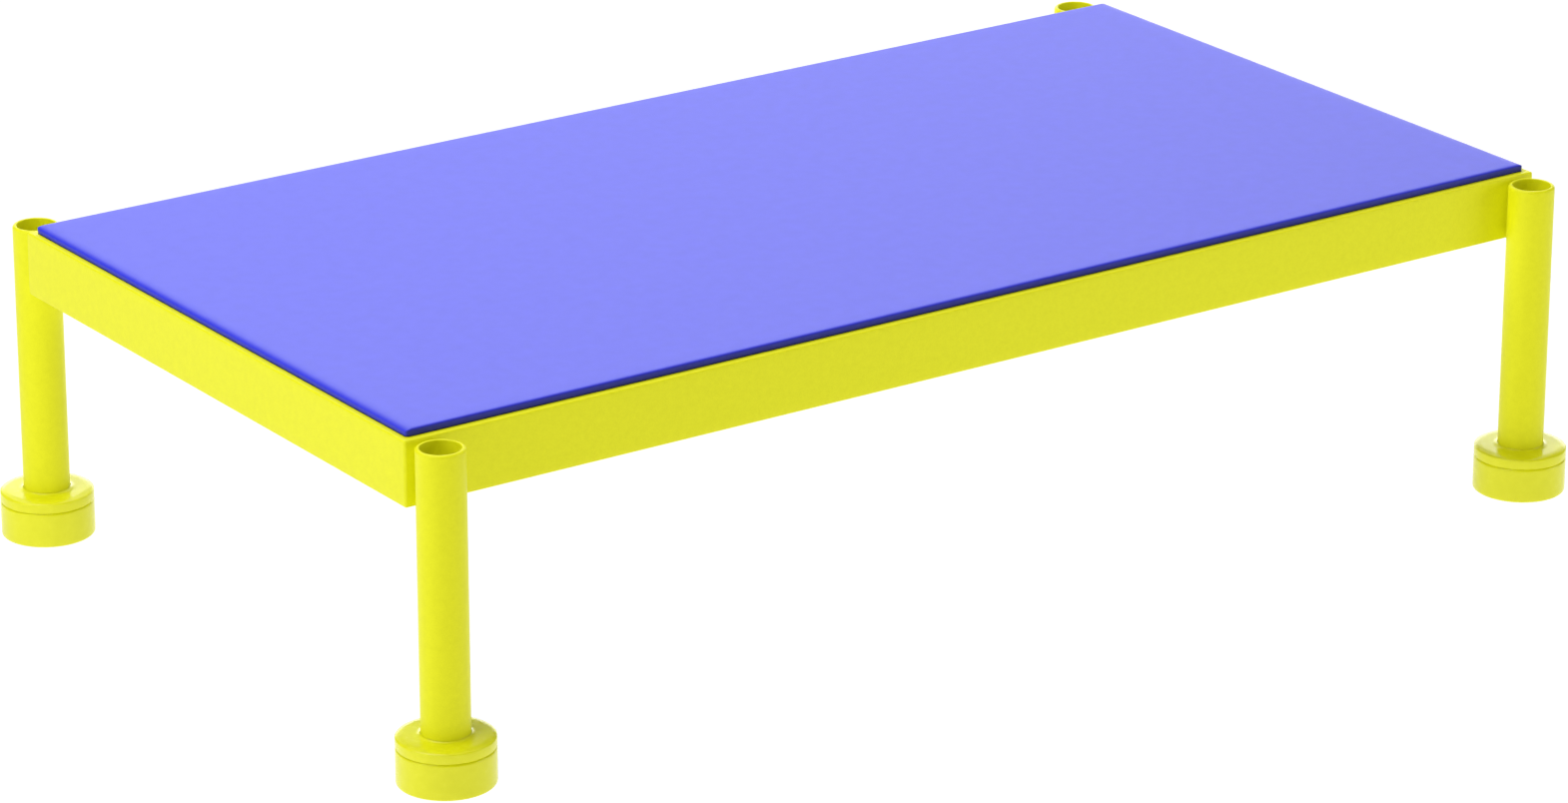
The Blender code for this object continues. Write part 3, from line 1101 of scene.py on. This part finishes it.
def pad_under(x, y):
    """The under side: level over rails and springs, then down to the mat inside the hem."""
    s = np.minimum(inside_length - np.abs(x), inside_width - np.abs(y))
    over_mat = mat_top + mat_gap
    return pad_bottom + (over_mat - pad_bottom) * smooth_step(s, drop_start, drop_end)


def rounded_corner(x, y, half_x, half_y, radius):
    """Bends the square corner of a grid into a quarter disc: u takes the root of one less half v squared,
    and v the root of one less half u squared, both measured from the corner's inner point."""
    u = np.clip((np.abs(x) - (half_x - radius)) / radius, 0.0, 1.0)
    v = np.clip((np.abs(y) - (half_y - radius)) / radius, 0.0, 1.0)
    both = (u > 0) & (v > 0)
    new_x = half_x - radius + radius * u * np.sqrt(1.0 - v * v / 2)
    new_y = half_y - radius + radius * v * np.sqrt(1.0 - u * u / 2)
    return np.where(both, np.sign(x) * new_x, x), np.where(both, np.sign(y) * new_y, y)


def pad_surface():
    """The whole cover as one closed skin: a top grid and an under grid with the same lines, joined by rings
    down a wall that is tucked in towards its foot. Each point also gets a level of painted light: nought on
    the top face, which carries a painted sheen, one down the end walls and two down the long walls, which
    are painted darker as painted shade, and it rises over the outer half of a roll."""
    arc = 1.0 - np.cos(np.radians(np.linspace(0.0, 90.0, 11)))
    near = np.concatenate([long_roll[0] * arc[:-1], [0.0036, 0.0046, 0.0060, 0.0080, 0.0100]])
    wide = np.concatenate([end_roll[0] * arc, [0.0150, 0.0185, 0.0235, 0.0300]])
    drop = drop_start + wall_half_x - inside_length
    deep = drop + np.linspace(-0.003, 0.028, 9)
    ramp = np.concatenate([np.linspace(0.042, drop - 0.006, 8), deep])
    xs = spread(np.concatenate([wide, ramp]), wall_half_x, cover_pitch)
    beyond = [0.0140, 0.0190, 0.0250, 0.0320]
    ys = spread(np.concatenate([near, beyond, ramp]), wall_half_y, cover_pitch)
    flat_x, flat_y = np.meshgrid(xs, ys, indexing="ij")
    x, y = rounded_corner(flat_x, flat_y, wall_half_x, wall_half_y, pad_corner)
    top = np.stack([x, y, pad_upper(x, y)], axis=-1)
    under = np.stack([x, y, pad_under(x, y)], axis=-1)
    rows, columns = x.shape
    count = rows * columns
    loop = edge_loop(rows, columns)
    rim = np.stack([x.reshape(-1)[loop], y.reshape(-1)[loop]], axis=-1)
    core = np.array([wall_half_x - pad_corner, wall_half_y - pad_corner])
    out = rim - np.clip(rim, -core, core)
    out /= np.linalg.norm(out, axis=1)[:, None]
    wall_top = top.reshape(-1, 3)[loop, 2]
    steps = [
        (0.00000, 0.04),
        (-0.00002, 0.20),
        (-0.00007, 0.40),
        (-0.00015, 0.60),
        (-0.00027, 0.80),
        (-tuck, 0.97),
        (-tuck - 0.0002, 1.0),
    ]
    rings = []
    for offset, share in steps:
        z = wall_top + (pad_bottom - wall_top) * share
        rings.append(np.concatenate([rim + offset * out, z[:, None]], axis=1))
    points = np.concatenate([top.reshape(-1, 3), under.reshape(-1, 3), *rings])
    faces = [grid_faces(rows, columns), grid_faces(rows, columns, start=count)[:, ::-1]]
    chain = [loop] + [2 * count + k * len(loop) + np.arange(len(loop)) for k in range(len(steps))]
    chain.append(loop + count)
    for upper, lower in zip(chain, chain[1:]):
        faces.append(np.stack([upper, np.roll(upper, -1), np.roll(lower, -1), lower], axis=-1))
    # Painted light levels: painted sheen on the flat top, painted shade over the outer rolls and down the
    # walls, deepest on the long sides.
    on_end = smooth_step(1.0 - (wall_half_x - np.abs(x)) / end_roll[0], 0.45, 1.0)
    on_long = 2.0 * smooth_step(1.0 - (wall_half_y - np.abs(y)) / long_roll[0], 0.35, 1.0)
    top_shade = np.maximum(on_end, on_long).reshape(-1)
    wall_shade = np.tile(1.0 + np.abs(out[:, 1]) ** 2, len(steps))
    return points, faces, np.concatenate([top_shade, np.ones(count), wall_shade])


def vinyl_finish():
    """Blue vinyl: a fine pebble grain in the skin, with slow changes of shade and of gloss. The top face is
    painted a lighter blue as a painted sheen, the end rolls are painted a deeper blue as painted shade, and
    the long sides are painted navy as painted shade."""
    material, tree, shader = new_material("blue_vinyl")
    grain = add_grain(tree, 1300.0, 60.0)
    # Painted light: the lighter top blue is a painted sheen, the deeper end blue and the navy long-wall
    # blue are painted shade.
    sheen_painted_top = tinted(tree, grain.outputs["Tint"], (0.104, 0.117, 0.80), (0.126, 0.140, 0.88))
    full = tinted(tree, grain.outputs["Tint"], (0.020, 0.028, 0.72), (0.026, 0.036, 0.80))
    shade_painted_wall = tinted(tree, grain.outputs["Tint"], (0.006, 0.010, 0.34), (0.010, 0.014, 0.40))
    # The per-point level that mixes from the painted sheen of the top to the painted shade of the rolls and
    # walls.
    shade = add_node(tree, "ShaderNodeAttribute", attribute_name="edge_shade")
    colour = sheen_painted_top
    for start, deeper in ((0.0, full), (1.0, shade_painted_wall)):
        amount = math_node(tree, "SUBTRACT", shade.outputs["Fac"], start)
        mix = add_node(tree, "ShaderNodeMix", data_type="RGBA")
        tree.links.new(amount, mix.inputs[0])
        tree.links.new(colour, mix.inputs[6])
        tree.links.new(deeper, mix.inputs[7])
        colour = mix.outputs[2]
    tree.links.new(colour, shader.inputs["Base Color"])
    tree.links.new(ranged(tree, grain.outputs["Tint"], 0.48, 0.60), shader.inputs["Roughness"])
    shader.inputs["Specular IOR Level"].default_value = 0.45
    pebble = add_node(tree, "ShaderNodeTexVoronoi", Scale=750.0, feature="SMOOTH_F1")
    place = tree.nodes.new("ShaderNodeTexCoord")
    tree.links.new(place.outputs["Object"], pebble.inputs["Vector"])
    height = math_node(tree, "MULTIPLY_ADD", grain.outputs["Height"], 0.5, pebble.outputs["Distance"])
    bump(tree, shader, height, 0.00010, 0.35)
    return material


vinyl = vinyl_finish()
points, faces, shade = pad_surface()
cover = make_piece("vinyl_cover", points, faces, vinyl, smooth=50.0)
# Stores the painted sheen and painted shade levels on the cover's points.
cover.data.attributes.new("edge_shade", "FLOAT", "POINT").data.foreach_set("value", shade)
follow_bed(cover)
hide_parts("pad_centre", "pad_front", "pad_rear", "pad_left", "pad_right")
